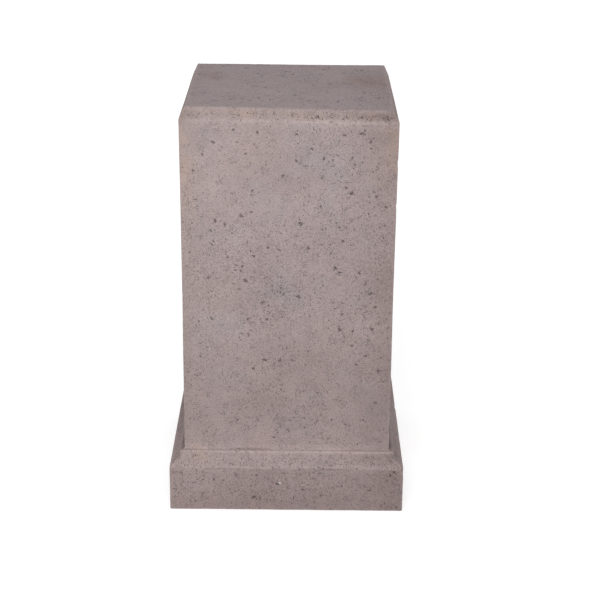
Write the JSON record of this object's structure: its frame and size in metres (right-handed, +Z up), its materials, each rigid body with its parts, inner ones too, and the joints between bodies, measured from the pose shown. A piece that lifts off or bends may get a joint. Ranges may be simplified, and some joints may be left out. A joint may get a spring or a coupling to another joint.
{
  "type": "column base block",
  "caption": "Square cast-stone column base block: a tall plain shaft on a plinth with a splay and a small fillet, chamfered round its flat top.",
  "frame": {"origin": "centre of the underside, on the floor", "axes": "+Z up along the block's height; -Y faces the viewer of the picture; +X to that viewer's right"},
  "size_m": [0.4, 0.4, 0.7],
  "materials": {
    "cast_stone": "matte"
  },
  "bodies": {
    "root": {"column_base_block": "cast_stone"}
  },
  "joints": []
}
